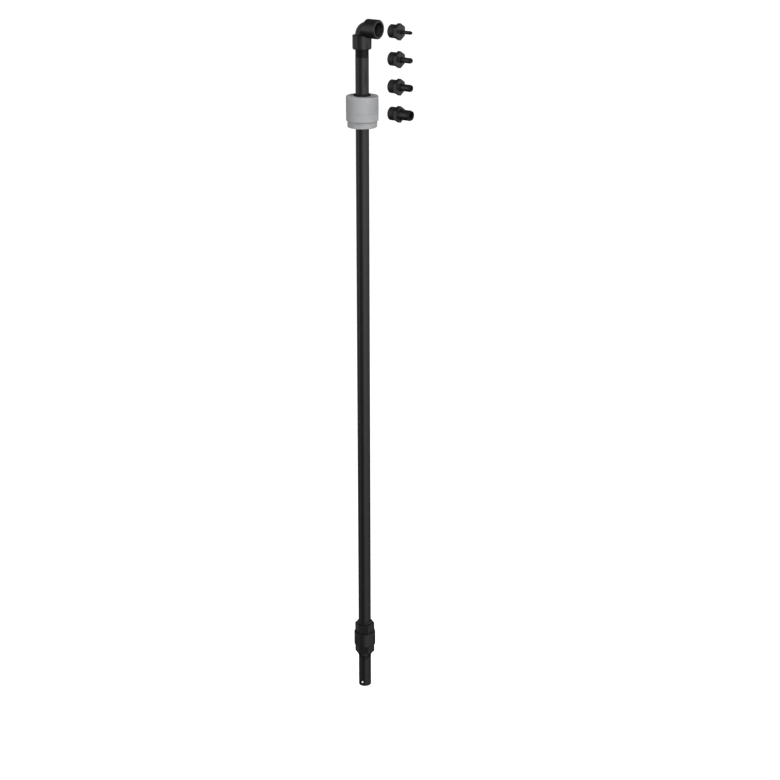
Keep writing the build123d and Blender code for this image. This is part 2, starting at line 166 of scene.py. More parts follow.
def make_mould_grain():
    """Fine spark-eroded grain of a mould, with a slow waviness under it."""
    tree, entry, leave = new_group(
        "mould_grain", {"Grain Size": 0.0004, "Wave Size": 0.012, "Wave Share": 0.4}, ["Height", "Mottle"]
    )
    coordinates = add_node(tree, "ShaderNodeTexCoord")
    fine_place = scaled_coordinates(tree, entry, coordinates, "Grain Size")
    wave_place = scaled_coordinates(tree, entry, coordinates, "Wave Size")
    fine = add_node(tree, "ShaderNodeTexNoise", noise_dimensions="3D")
    fine.inputs["Scale"].default_value = 1.0
    fine.inputs["Detail"].default_value = 3.0
    wave = add_node(tree, "ShaderNodeTexNoise", noise_dimensions="3D")
    wave.inputs["Scale"].default_value = 1.0
    wave.inputs["Detail"].default_value = 5.0
    wave.inputs["Roughness"].default_value = 0.6
    wire(tree, fine_place, "Vector", fine, "Vector")
    wire(tree, wave_place, "Vector", wave, "Vector")
    share = math_node(tree, "MULTIPLY", (wave, "Fac"), (entry, "Wave Share"))
    height = math_node(tree, "ADD", (fine, "Fac"), (share, 0))
    wire(tree, height, 0, leave, "Height")
    mottle = map_range(tree, wave, "Fac", 0.3, 0.7)
    wire(tree, mottle, "Result", leave, "Mottle")
    return tree


def make_edge_wear():
    """Mask of rubbed outer edges, broken up by noise."""
    tree, entry, leave = new_group("edge_wear", {"Reach": 0.06, "Break Size": 0.003}, ["Mask"])
    geometry = add_node(tree, "ShaderNodeNewGeometry")
    coordinates = add_node(tree, "ShaderNodeTexCoord")
    place = scaled_coordinates(tree, entry, coordinates, "Break Size")
    patches = add_node(tree, "ShaderNodeTexNoise", noise_dimensions="3D")
    patches.inputs["Scale"].default_value = 1.0
    patches.inputs["Detail"].default_value = 6.0
    wire(tree, place, "Vector", patches, "Vector")
    sharp = math_node(tree, "SUBTRACT", (geometry, "Pointiness"), 0.5)
    rubbed = math_node(tree, "DIVIDE", (sharp, 0), (entry, "Reach"), clamp=True)
    broken = map_range(tree, patches, "Fac", 0.35, 0.65)
    mask = math_node(tree, "MULTIPLY", (rubbed, 0), (broken, "Result"), clamp=True)
    wire(tree, mask, 0, leave, "Mask")
    return tree


def make_fine_dust():
    """Mask of light dust, thicker on faces that look up."""
    tree, entry, leave = new_group("fine_dust", {"Speck Size": 0.0012, "Cover": 0.4}, ["Mask"])
    geometry = add_node(tree, "ShaderNodeNewGeometry")
    coordinates = add_node(tree, "ShaderNodeTexCoord")
    place = scaled_coordinates(tree, entry, coordinates, "Speck Size")
    specks = add_node(tree, "ShaderNodeTexNoise", noise_dimensions="3D")
    specks.inputs["Scale"].default_value = 1.0
    specks.inputs["Detail"].default_value = 8.0
    specks.inputs["Roughness"].default_value = 0.7
    wire(tree, place, "Vector", specks, "Vector")
    parts = add_node(tree, "ShaderNodeSeparateXYZ")
    wire(tree, geometry, "Normal", parts, "Vector")
    facing = map_range(tree, parts, "Z", -0.2, 1.0, 0.15, 1.0)
    settled = map_range(tree, specks, "Fac", 0.48, 0.72)
    mask = math_node(tree, "MULTIPLY", (facing, "Result"), (settled, "Result"))
    cover = math_node(tree, "MULTIPLY", (mask, 0), (entry, "Cover"), clamp=True)
    wire(tree, cover, 0, leave, "Mask")
    return tree


def make_die_lines():
    """Long faint lines that an extrusion die leaves along a pipe, and short handling scuffs round it."""
    tree, entry, leave = new_group("die_lines", {"Line Width": 0.0011}, ["Height", "Scuff"])
    coordinates = add_node(tree, "ShaderNodeTexCoord")
    place = scaled_coordinates(tree, entry, coordinates, "Line Width")
    stretch = add_node(tree, "ShaderNodeMapping")
    stretch.inputs["Scale"].default_value = (1.0, 1.0, 0.004)
    wire(tree, place, "Vector", stretch, "Vector")
    lines = add_node(tree, "ShaderNodeTexNoise", noise_dimensions="3D")
    lines.inputs["Scale"].default_value = 1.0
    lines.inputs["Detail"].default_value = 3.0
    wire(tree, stretch, "Vector", lines, "Vector")
    wire(tree, lines, "Fac", leave, "Height")
    scuffs = noise(tree, coordinates, "Object", 0.009, 7.0, 0.65, (1.0, 1.0, 0.35))
    mask = map_range(tree, scuffs, "Fac", 0.56, 0.74)
    wire(tree, mask, "Result", leave, "Scuff")
    return tree


GRAIN = make_mould_grain()
WEAR = make_edge_wear()
DUST = make_fine_dust()
DIE_LINES = make_die_lines()


def place_group(tree, group, **values):
    """A group node, its inputs set by names such as Grain_Size."""
    node = add_node(tree, "ShaderNodeGroup", label=group.name)
    node.node_tree = group
    for key, value in values.items():
        node.inputs[key.replace("_", " ")].default_value = value
    return node


def mix_colour(tree, mask, socket, first, second):
    """Mix of two colours by a mask; a colour is a tuple or an earlier mix node."""
    node = add_node(tree, "ShaderNodeMix", data_type="RGBA", blend_type="MIX")
    tree.links.new(mask.outputs[socket], node.inputs["Factor"])
    for slot, colour in ((6, first), (7, second)):
        if isinstance(colour, tuple):
            node.inputs[slot].default_value = (*colour, 1.0)
        else:
            tree.links.new(colour.outputs[2], node.inputs[slot])
    return node


def new_material(name):
    material = bpy.data.materials.new(name)
    material.use_nodes = True
    tree = material.node_tree
    return material, tree, tree.nodes["Principled BSDF"]


def bump(tree, shader, height, socket, depth, strength):
    node = add_node(tree, "ShaderNodeBump")
    node.inputs["Distance"].default_value = depth
    node.inputs["Strength"].default_value = strength
    tree.links.new(height.outputs[socket], node.inputs["Height"])
    wire(tree, node, "Normal", shader, "Normal")


def moulded_plastic(name, deep, light, worn, dusty, rough_low, rough_high, grain_size, grain_depth):
    """Injection-moulded plastic: two close tones, rubbed edges, settled dust and a fine grain."""
    material, tree, shader = new_material(name)
    grain = place_group(tree, GRAIN, Grain_Size=grain_size, Wave_Size=0.014, Wave_Share=0.8)
    wear = place_group(tree, WEAR, Reach=0.08, Break_Size=0.0025)
    dust = place_group(tree, DUST, Speck_Size=0.0016, Cover=0.35)
    tone = mix_colour(tree, grain, "Mottle", deep, light)
    edged = mix_colour(tree, wear, "Mask", tone, worn)
    finished = mix_colour(tree, dust, "Mask", edged, dusty)
    wire(tree, finished, 2, shader, "Base Color")
    roughness = map_range(tree, grain, "Mottle", 0.0, 1.0, rough_low, rough_high)
    wire(tree, roughness, "Result", shader, "Roughness")
    bump(tree, shader, grain, "Height", grain_depth, 0.5)
    return material, shader


def make_black_moulding():
    material, shader = moulded_plastic(
        "black_moulded_plastic",
        deep=(0.0066, 0.0066, 0.0069), light=(0.0090, 0.0090, 0.0093),
        worn=(0.0260, 0.0260, 0.0265), dusty=(0.0230, 0.0227, 0.0220),
        rough_low=0.28, rough_high=0.36, grain_size=0.0005, grain_depth=0.00004,
    )
    shader.inputs["Specular IOR Level"].default_value = 0.8
    return material


def make_grey_moulding():
    material, shader = moulded_plastic(
        "grey_moulded_plastic",
        deep=(0.385, 0.390, 0.400), light=(0.425, 0.430, 0.440),
        worn=(0.520, 0.525, 0.530), dusty=(0.470, 0.465, 0.450),
        rough_low=0.46, rough_high=0.55, grain_size=0.0006, grain_depth=0.00005,
    )
    shader.inputs["Specular IOR Level"].default_value = 0.4
    shader.inputs["Subsurface Weight"].default_value = 0.04
    shader.inputs["Subsurface Radius"].default_value = (0.0015, 0.0015, 0.0015)
    shader.inputs["Subsurface Scale"].default_value = 1.0
    return material


def make_natural_moulding():
    material, shader = moulded_plastic(
        "natural_moulded_plastic",
        deep=(0.62, 0.60, 0.55), light=(0.72, 0.70, 0.65),
        worn=(0.80, 0.79, 0.76), dusty=(0.55, 0.53, 0.48),
        rough_low=0.35, rough_high=0.45, grain_size=0.0006, grain_depth=0.00003,
    )
    shader.inputs["Subsurface Weight"].default_value = 0.25
    shader.inputs["Subsurface Radius"].default_value = (0.003, 0.0028, 0.0024)
    shader.inputs["Subsurface Scale"].default_value = 1.0
    return material


def make_black_pipe():
    """Extruded pipe: die lines along it and light scuffs from sliding through the grommet."""
    material, tree, shader = new_material("black_extruded_pipe")
    lines = place_group(tree, DIE_LINES, Line_Width=0.0012)
    dust = place_group(tree, DUST, Speck_Size=0.0020, Cover=0.20)
    grain = place_group(tree, GRAIN, Grain_Size=0.0007, Wave_Size=0.03, Wave_Share=0.5)
    tone = mix_colour(tree, grain, "Mottle", (0.0062, 0.0062, 0.0065), (0.0084, 0.0084, 0.0087))
    scuffed = mix_colour(tree, lines, "Scuff", tone, (0.0190, 0.0190, 0.0196))
    finished = mix_colour(tree, dust, "Mask", scuffed, (0.0260, 0.0255, 0.0245))
    wire(tree, finished, 2, shader, "Base Color")
    roughness = map_range(tree, lines, "Scuff", 0.0, 1.0, 0.29, 0.37)
    wire(tree, roughness, "Result", shader, "Roughness")
    bump(tree, shader, lines, "Height", 0.00003, 0.5)
    shader.inputs["Specular IOR Level"].default_value = 0.8
    return material


def make_black_rubber():
    """Matt rubber with a greyish bloom."""
    material, tree, shader = new_material("black_rubber")
    grain = place_group(tree, GRAIN, Grain_Size=0.0004, Wave_Size=0.006, Wave_Share=0.3)
    dust = place_group(tree, DUST, Speck_Size=0.0009, Cover=0.5)
    tone = mix_colour(tree, grain, "Mottle", (0.0065, 0.0065, 0.0065), (0.0110, 0.0110, 0.0110))
    bloom = mix_colour(tree, dust, "Mask", tone, (0.0330, 0.0330, 0.0325))
    wire(tree, bloom, 2, shader, "Base Color")
    roughness = map_range(tree, grain, "Mottle", 0.0, 1.0, 0.55, 0.72)
    wire(tree, roughness, "Result", shader, "Roughness")
    bump(tree, shader, grain, "Height", 0.00006, 0.6)
    shader.inputs["Specular IOR Level"].default_value = 0.35
    return material


def make_spring_wire():
    """Drawn stainless wire."""
    material, tree, shader = new_material("drawn_spring_wire")
    grain = place_group(tree, GRAIN, Grain_Size=0.0002, Wave_Size=0.004, Wave_Share=0.5)
    tone = mix_colour(tree, grain, "Mottle", (0.50, 0.50, 0.49), (0.64, 0.64, 0.63))
    wire(tree, tone, 2, shader, "Base Color")
    shader.inputs["Metallic"].default_value = 1.0
    roughness = map_range(tree, grain, "Mottle", 0.0, 1.0, 0.22, 0.36)
    wire(tree, roughness, "Result", shader, "Roughness")
    bump(tree, shader, grain, "Height", 0.00001, 0.4)
    return material


FINISHES = {
    "black_plastic": make_black_moulding(),
    "black_pipe": make_black_pipe(),
    "grey_plastic": make_grey_moulding(),
    "black_rubber": make_black_rubber(),
    "natural_plastic": make_natural_moulding(),
    "spring_steel": make_spring_wire(),
}


# ---------------------------------------------------------------- mesh building blocks

ROUND_STEPS = 5
ROUND_TURN = [2 * pi * step / 112 for step in range(112)]
HOLE_TURN = [2 * pi * step / 40 for step in range(40)]
HEX_OFFSETS = (0.0, 1.0, 2.4, 4.5, 7.5, 11.5, 16.0, 21.0, 25.5)
THREAD_STEPS = 8                    # rows for each turn of thread
CREST_SHARE = 0.18                  # half of a thread's crest, as a share of half the pitch
FLANK_SHARE = 0.62                  # a thread's flank, as a share of half the pitch
LONG_STRETCH = 1.2 * MM
SUPPORT_STEP = 0.25 * MM
WELD_REACH = 1e-7
SHARP_ANGLE = radians(32)


def hex_turn():
    """Angles for a piece with a hexagon, close together beside its six corners."""
    angles = set()
    for corner in range(6):
        for offset in HEX_OFFSETS + (30.0,):
            angles.add(round((corner * 60 + offset) % 360, 4))
            angles.add(round((corner * 60 - offset) % 360, 4))
    return [radians(angle) for angle in sorted(angles)]


HEX_TURN = hex_turn()


class Row:
    """One ring of a turned piece: its radius and height, and what shapes it."""

    def __init__(self, radius, height, thread=None, hexagon=None):
        self.radius = radius
        self.height = height
        self.thread = thread
        self.hexagon = hexagon

    def radius_at(self, angle):
        radius = self.radius
        if self.thread:
            radius += self.thread.offset(self.height, angle)
        if self.hexagon:
            radius = min(radius, self.hexagon.radius_at(angle))
        return radius


class Thread:
    """Right-hand thread cut into a pin, or into a bore when outward is True."""

    def __init__(self, start, end, pitch, depth, outward=False):
        self.start, self.end = min(start, end), max(start, end)
        self.pitch = pitch
        self.depth = depth
        self.sign = 1.0 if outward else -1.0

    def offset(self, height, angle):
        turns = height / self.pitch - angle / (2 * pi)
        share = turns - floor(turns)
        flank = min(1.0, max(0.0, (abs(2.0 * share - 1.0) - CREST_SHARE) / FLANK_SHARE))
        groove = flank * flank * (3.0 - 2.0 * flank)
        run_in = min(1.0, max(0.0, (height - self.start) / self.pitch))
        run_out = min(1.0, max(0.0, (self.end - height) / self.pitch))
        return self.sign * self.depth * groove * run_in * run_out

    def rows(self, radius, start, end):
        """Rows close enough together to carry the thread."""
        count = max(2, round(abs(end - start) / self.pitch * THREAD_STEPS))
        return [Row(radius, start + (end - start) * k / count, thread=self) for k in range(count + 1)]


class Hexagon:
    """Flats at an equal distance from the axis, with slightly rounded corners."""

    def __init__(self, corner_r, rounding):
        self.flat_r = corner_r * cos(radians(30))
        self.limit = corner_r - rounding * (1 / cos(radians(30)) - 1)

    def radius_at(self, angle):
        across = (angle + radians(30)) % radians(60) - radians(30)
        flat = self.flat_r / cos(radians(30) - abs(across))
        return min(flat, self.limit)

    def rows(self, cone, start, end, count):
        """Rows from start to end under a cone: its radius at each end."""
        rows = []
        for k in range(count + 1):
            share = k / count
            limit = cone[0] + (cone[1] - cone[0]) * share
            rows.append(Row(limit, start + (end - start) * share, hexagon=self))
        return rows


def rounded(*corners):
    """Rows through corners (radius, height) or (radius, height, rounding), rounded ones as arcs."""
    rows = []
    count = len(corners)
    for place, corner in enumerate(corners):
        here = Vector(corner[:2])
        size = corner[2] if len(corner) > 2 else 0.0
        before = Vector(corners[place - 1][:2]) if place else None
        after = Vector(corners[place + 1][:2]) if place + 1 < count else None
        if not size or before is None or after is None:
            rows.append(Row(here.x, here.y))
            continue
        back = (before - here).normalized()
        ahead = (after - here).normalized()
        half = back.angle(ahead) / 2
        reach = min(size / tan(half), (before - here).length * 0.49, (after - here).length * 0.49)
        size = reach * tan(half)
        centre = here + (back + ahead).normalized() * (size / sin(half))
        first = here + back * reach - centre
        last = here + ahead * reach - centre
        sweep = first.angle_signed(last)
        for k in range(ROUND_STEPS + 1):
            turn = Matrix.Rotation(-sweep * k / ROUND_STEPS, 2)
            point = centre + turn @ first
            rows.append(Row(point.x, point.y))
    return rows


def clean_shading(piece):
    """Weld double points, turn every face outwards and shade smooth except over sharp edges."""
    mesh = piece.data
    work = bmesh.new()
    work.from_mesh(mesh)
    bmesh.ops.remove_doubles(work, verts=work.verts, dist=WELD_REACH)
    bmesh.ops.recalc_face_normals(work, faces=work.faces)
    work.to_mesh(mesh)
    work.free()
    mesh.shade_smooth()
    mesh.set_sharp_from_angle(angle=SHARP_ANGLE)


def mesh_piece(name, vertices, faces, finish):
    """A linked object from vertices and faces."""
    mesh = bpy.data.meshes.new(name)
    mesh.from_pydata(vertices, [], faces)
    mesh.validate()
    piece = bpy.data.objects.new(name, mesh)
    bpy.context.scene.collection.objects.link(piece)
    clean_shading(piece)
    mesh.materials.append(FINISHES[finish])
    return piece


def with_support(rows):
    """The rows, with one more just inside each end of a long straight stretch, to shade it evenly."""
    supported = rows[:1]
    for first, last in zip(rows, rows[1:]):
        length = Vector((last.radius - first.radius, last.height - first.height)).length
        if length > LONG_STRETCH:
            for share in (SUPPORT_STEP / length, 1 - SUPPORT_STEP / length):
                radius = first.radius + (last.radius - first.radius) * share
                height = first.height + (last.height - first.height) * share
                supported.append(Row(radius, height, hexagon=first.hexagon or last.hexagon))
        supported.append(last)
    return supported


def turned_piece(name, rows, finish, angles=ROUND_TURN, closed=True):
    """A piece turned about Z from its rows.

    A closed outline makes a ring, and an open one starts and ends on the axis.
    """
    vertices = []
    rings = []
    for row in with_support(rows):
        if row.radius < 1e-9:
            rings.append([len(vertices)] * len(angles))
            vertices.append((0.0, 0.0, row.height))
            continue
        rings.append(list(range(len(vertices), len(vertices) + len(angles))))
        for angle in angles:
            radius = row.radius_at(angle)
            vertices.append((radius * cos(angle), radius * sin(angle), row.height))
    faces = []
    spans = len(rings) if closed else len(rings) - 1
    for span in range(spans):
        lower, upper = rings[span], rings[(span + 1) % len(rings)]
        for k in range(len(angles)):
            following = (k + 1) % len(angles)
            corners = []
            for corner in (lower[k], lower[following], upper[following], upper[k]):
                if corner not in corners:
                    corners.append(corner)
            if len(corners) > 2:
                faces.append(corners)
    return mesh_piece(name, vertices, faces, finish)


def lay_outward(piece, start_x, height):
    """Lay a piece made about Z along +X, its zero end at start_x."""
    turn = Matrix.Translation((start_x, 0, height)) @ Matrix.Rotation(radians(90), 4, "Y")
    piece.data.transform(turn)


def combine(piece, tool, operation):
    """Boolean of two pieces, applied; the tool is thrown away."""
    modifier = piece.modifiers.new("joined", "BOOLEAN")
    modifier.object = tool
    modifier.operation = operation
    modifier.solver = "EXACT"
    bpy.context.view_layer.update()
    graph = bpy.context.evaluated_depsgraph_get()
    result = bpy.data.meshes.new_from_object(piece.evaluated_get(graph))
    piece.modifiers.clear()
    piece.data = result
    bpy.data.objects.remove(tool)


def bent_bar(name, rows, bend_r, finish):
    """Round bar along a path that runs up Z, turns a quarter circle at the corner and runs out along X.

    Each row's height is its place: the distance from the corner along the two legs, negative before it.
    """
    vertices = []
    rings = []
    for row in rows:
        along = row.height
        if along <= -bend_r:
            centre = Vector((0, 0, along))
            turn = 0.0
        elif along >= bend_r:
            centre = Vector((along, 0, 0))
            turn = pi / 2
        else:
            turn = (along + bend_r) / (2 * bend_r) * pi / 2
            centre = Vector((bend_r - bend_r * cos(turn), 0, -bend_r + bend_r * sin(turn)))
        side = Vector((cos(turn), 0, -sin(turn)))
        rings.append(list(range(len(vertices), len(vertices) + len(ROUND_TURN))))
        for angle in ROUND_TURN:
            radius = row.radius_at(angle)
            vertices.append(centre + side * (radius * cos(angle)) + Vector((0, radius * sin(angle), 0)))
    faces = [list(reversed(rings[0])), list(rings[-1])]
    for lower, upper in zip(rings, rings[1:]):
        for k in range(len(ROUND_TURN)):
            following = (k + 1) % len(ROUND_TURN)
            faces.append([lower[k], lower[following], upper[following], upper[k]])
    return mesh_piece(name, vertices, faces, finish)


def settle(piece, body, finish, *nodes):
    """Ride on a body and stand for CAD nodes; finish is not used."""
    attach(piece, body)
    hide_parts(*nodes)
    return piece


# ---------------------------------------------------------------- sizes read from the frame

TUBE_LOW, TUBE_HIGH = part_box("suction_tube")
BUNG_LOW, BUNG_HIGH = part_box("bung_body")
CAP_LOW, CAP_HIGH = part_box("bung_cap")
LIP_LOW, LIP_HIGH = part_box("pipe_grommet")
ELBOW_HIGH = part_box("elbow")[1]
VALVE_LOW, VALVE_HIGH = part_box("valve_body")
TOP_LOW, TOP_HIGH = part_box("valve_top")
TAIL_LOW, TAIL_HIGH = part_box("tail_pipe")
HOSE_TAILS = ("06", "10", "13", "19")

PIPE_THREAD_R = TUBE_HIGH.x
PIPE_THREAD_STEP = 0.165 * MM       # how far the thread stands proud of the pipe
PIPE_R = PIPE_THREAD_R - PIPE_THREAD_STEP
PIPE_BORE_R = 9.425 * MM
FIT_GAP = 0.03 * MM                 # between two pieces that fit into each other
PIPE_PITCH = 1.814 * MM             # 14 threads per inch
BUNG_PITCH = 2.309 * MM             # 11 threads per inch
THREAD_DEPTH = 1.0 * MM
UPPER_THREAD_SHOWN = 15.5 * MM      # below the elbow
LOWER_THREAD_SHOWN = 8.0 * MM       # below the foot valve
OUTLET_THREAD_R = 13.22 * MM
OUTLET_BORE_R = 13.27 * MM
SOCKET_R = ELBOW_HIGH.y
ELBOW_Z = ELBOW_HIGH.z - SOCKET_R
SOCKET_END = ELBOW_HIGH.x
SOCKET_START = 13.35 * MM
SOCKET_DEPTH = 17.0 * MM
SOCKET_FLOOR = SOCKET_END - SOCKET_DEPTH
SEAT_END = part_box("elbow_outlet_washer")[1].x + 0.3 * MM
NECK_R = 13.25 * MM
VALVE_HEX_R = 21.05 * MM            # over the corners
HEX_CHAMFER = 0.8 * MM
HEX_END_STEP = 0.35 * MM            # how far a hexagon's chamfer ends inside its flats
HEX_CLEAR = 0.1 * MM                # how far the turned outline clears the corners
VALVE_LIP_R = 14.3 * MM
LOWER_CONE_R = 17.6 * MM
SPIGOT_R = 17.4 * MM


# ---------------------------------------------------------------- the lance

def make_suction_pipe():
    """Long pipe; the thread at its top shows for a stretch below the elbow."""
    thread_bottom = ELBOW_Z - SOCKET_END - UPPER_THREAD_SHOWN
    past_top = TUBE_HIGH.z + 2 * PIPE_PITCH
    upper = Thread(thread_bottom, past_top, PIPE_PITCH, THREAD_DEPTH)
    rows = rounded(
        (PIPE_BORE_R, TUBE_LOW.z),
        (PIPE_R - 0.8 * MM, TUBE_LOW.z),
        (PIPE_R, TUBE_LOW.z + 0.8 * MM),
        (PIPE_R, thread_bottom - 0.3 * MM),
    )
    rows += upper.rows(PIPE_THREAD_R, thread_bottom, TUBE_HIGH.z - 1.0 * MM)
    rows += rounded(
        (PIPE_THREAD_R - 1.0 * MM, TUBE_HIGH.z),
        (PIPE_BORE_R, TUBE_HIGH.z),
    )
    settle(turned_piece("suction_pipe", rows, "black_pipe"), "lance", "black_pipe", "suction_tube")


def socket_outline():
    """Outside of a socket, solid, from its mouth inwards, measured from the elbow's corner."""
    neck_end = SOCKET_START - 2.2 * MM
    return rounded(
        (0, SOCKET_END),
        (SOCKET_R - 1.5 * MM, SOCKET_END, 0.4 * MM),
        (SOCKET_R, SOCKET_END - 1.6 * MM, 0.9 * MM),
        (SOCKET_R, SOCKET_START, 1.2 * MM),
        (NECK_R, SOCKET_START, 1.3 * MM),
        (NECK_R - 0.15 * MM, neck_end),
        (0, neck_end),
    )


def socket_bore(thread_r):
    """Threaded bore of a socket, as a solid to cut with."""
    thread = Thread(SEAT_END, SOCKET_END - 0.4 * MM, PIPE_PITCH, 0.55 * MM, outward=True)
    seat_r = thread_r + 0.45 * MM
    mouth_r = thread_r + 0.9 * MM
    past_mouth = SOCKET_END + 1.0 * MM
    rows = rounded((0, SOCKET_FLOOR), (seat_r, SOCKET_FLOOR), (seat_r, SEAT_END))
    rows += thread.rows(thread_r, SEAT_END, SOCKET_END - 1.0 * MM)
    rows += rounded((mouth_r, SOCKET_END), (mouth_r, past_mouth), (0, past_mouth))
    return rows


def make_elbow():
    """Two equal sockets on a quarter bend, threaded inside."""
    reach = SOCKET_END - 8.0 * MM
    half_bend = 14
    steps = [-reach, -SOCKET_START]
    steps += [SOCKET_START * (k / half_bend - 1) for k in range(1, 2 * half_bend)]
    steps += [SOCKET_START, reach]
    neck_rows = [Row(NECK_R, along) for along in steps]
    bore_rows = [Row(PIPE_BORE_R, along) for along in steps]
    solid = bent_bar("elbow_moulding", neck_rows, SOCKET_START, "black_plastic")
    flow = bent_bar("flow_way", bore_rows, SOCKET_START, "black_plastic")

    inlet = turned_piece("inlet_socket", socket_outline(), "black_plastic", closed=False)
    inlet.data.transform(Matrix.Rotation(pi, 4, "X"))
    outlet = turned_piece("outlet_socket", socket_outline(), "black_plastic", closed=False)
    lay_outward(outlet, 0, 0)
    combine(solid, inlet, "UNION")
    combine(solid, outlet, "UNION")

    inlet_bore = turned_piece("inlet_bore", socket_bore(PIPE_THREAD_R), "black_plastic", closed=False)
    inlet_bore.data.transform(Matrix.Rotation(pi, 4, "X"))
    outlet_bore = turned_piece("outlet_bore", socket_bore(OUTLET_BORE_R), "black_plastic", closed=False)
    lay_outward(outlet_bore, 0, 0)
    combine(solid, flow, "DIFFERENCE")
    combine(solid, inlet_bore, "DIFFERENCE")
    combine(solid, outlet_bore, "DIFFERENCE")
    solid.data.transform(Matrix.Translation((0, 0, ELBOW_Z)))
    clean_shading(solid)
    settle(solid, "lance", "black_plastic", "elbow")


def make_valve_top():
    """Upper half of the foot valve: cone, hexagon, thin flange and the spigot that the lower half takes."""
    hexagon = Hexagon(VALVE_HEX_R, 0.8 * MM)
    wide = VALVE_HEX_R + HEX_CLEAR
    top, bottom = TOP_HIGH.z, TOP_LOW.z
    hex_top = top - 4.9 * MM
    cone_low = top - 3.3 * MM
    cone_r = 17.3 * MM
    neck_r = 15.6 * MM
    flange_r = TOP_HIGH.x
    flange_low = VALVE_HIGH.z + 0.2 * MM
    flange_top = flange_low + 0.9 * MM
    socket_z = top - 16.0 * MM
    socket_r = PIPE_R + FIT_GAP
    spigot_bore_r = SPIGOT_R - 3.0 * MM
    rows = rounded(
        (PIPE_BORE_R, socket_z),
        (socket_r, socket_z),
        (socket_r, top - 0.3 * MM),
        (socket_r + 0.3 * MM, top),
        (VALVE_LIP_R, top, 0.15 * MM),
        (cone_r, cone_low + 0.3 * MM, 0.3 * MM),
        (cone_r - 0.1 * MM, cone_low),
        (neck_r, cone_low),
        (neck_r, hex_top),
    )
    rows += hexagon.rows((hexagon.flat_r - HEX_END_STEP, wide), hex_top, hex_top - HEX_CHAMFER, 6)
    rows += hexagon.rows((wide, wide), hex_top - 1.1 * MM, flange_top, 3)
    rows += rounded(
        (flange_r - 0.2 * MM, flange_top),
        (flange_r, flange_top - 0.2 * MM),
        (flange_r, flange_low + 0.2 * MM),
        (flange_r - 0.2 * MM, flange_low),
        (SPIGOT_R, flange_low),
        (SPIGOT_R, bottom),
        (spigot_bore_r, bottom),
        (spigot_bore_r, socket_z - 8.0 * MM),
        (PIPE_BORE_R, socket_z - 4.0 * MM),
    )
    piece = turned_piece("valve_upper_half", rows, "black_plastic", HEX_TURN)
    piece.data.transform(Matrix.Rotation(radians(90), 4, "Z"))
    settle(piece, "lance", "black_plastic", "valve_top")


def make_valve_body():
    """Lower half of the foot valve: collar and hexagon round the poppet's chamber, and a cone under them."""
    collar_r = VALVE_HIGH.x
    hexagon = Hexagon(VALVE_HEX_R, 0.8 * MM)
    wide = VALVE_HEX_R + HEX_CLEAR
    top, bottom = VALVE_HIGH.z, VALVE_LOW.z
    collar_bottom = top - 28.3 * MM
    hex_low = bottom + 6.5 * MM
    bore_r = SPIGOT_R + FIT_GAP
    ledge = top - 16.93 * MM
    seat = top - 32.9 * MM
    seat_r = 8.8 * MM
    chamber_r = 15.0 * MM
    socket_r = PIPE_THREAD_R + FIT_GAP
    socket_z = TAIL_HIGH.z + 0.1 * MM
    rows = rounded(
        (bore_r, ledge),
        (bore_r, top - 0.3 * MM),
        (bore_r + 0.3 * MM, top),
        (collar_r - 0.6 * MM, top, 0.1 * MM),
        (collar_r, top - 0.7 * MM, 0.4 * MM),
        (collar_r, collar_bottom, 0.6 * MM),
        (wide, collar_bottom - 0.5 * MM),
    )
    rows += hexagon.rows((wide, wide), collar_bottom - 1.2 * MM, hex_low + 1.1 * MM, 4)
    rows += hexagon.rows((wide, hexagon.flat_r - HEX_END_STEP), hex_low + HEX_CHAMFER, hex_low, 6)
    rows += rounded(
        (LOWER_CONE_R, hex_low - 0.05 * MM),
        (VALVE_LIP_R, bottom, 0.3 * MM),
        (socket_r + 0.3 * MM, bottom),
        (socket_r, bottom + 0.3 * MM),
        (socket_r, socket_z),
        (seat_r, socket_z),
        (seat_r, seat, 0.3 * MM),
        (chamber_r, seat),
        (chamber_r, ledge),
    )
    piece = turned_piece("valve_lower_half", rows, "black_plastic", HEX_TURN)
    piece.data.transform(Matrix.Rotation(radians(90), 4, "Z"))
    settle(piece, "lance", "black_plastic", "valve_body")


def make_tail_pipe():
    """Short pipe under the valve: open end, cross hole, and a stretch of thread showing at the top."""
    low, top = TAIL_LOW.z, TAIL_HIGH.z
    thread_end = VALVE_LOW.z - LOWER_THREAD_SHOWN
    thread = Thread(thread_end, top + 2 * PIPE_PITCH, PIPE_PITCH, THREAD_DEPTH)
    rows = rounded(
        (PIPE_BORE_R, low + 0.4 * MM),
        (PIPE_BORE_R + 0.4 * MM, low),
        (PIPE_R - 0.3 * MM, low, 0.2 * MM),
        (PIPE_R, low + 0.4 * MM, 0.2 * MM),
        (PIPE_R, thread_end - 0.3 * MM),
    )
    rows += thread.rows(PIPE_THREAD_R, thread_end, top - 1.0 * MM)
    rows += rounded(
        (PIPE_THREAD_R - 0.8 * MM, top),
        (PIPE_BORE_R, top),
    )
    piece = turned_piece("tail_pipe_end", rows, "black_pipe")
    hole_r = 4.25 * MM
    hole_z = low + 9.4 * MM
    reach = 2 * PIPE_R
    drill_rows = rounded((0, -reach), (hole_r, -reach), (hole_r, reach), (0, reach))
    drill = turned_piece("drill", drill_rows, "black_pipe", HOLE_TURN, closed=False)
    drill.data.transform(Matrix.Translation((0, 0, hole_z)) @ Matrix.Rotation(pi / 2, 4, "X"))
    combine(piece, drill, "DIFFERENCE")
    clean_shading(piece)
    settle(piece, "lance", "black_pipe", "tail_pipe")


# ---------------------------------------------------------------- the bung

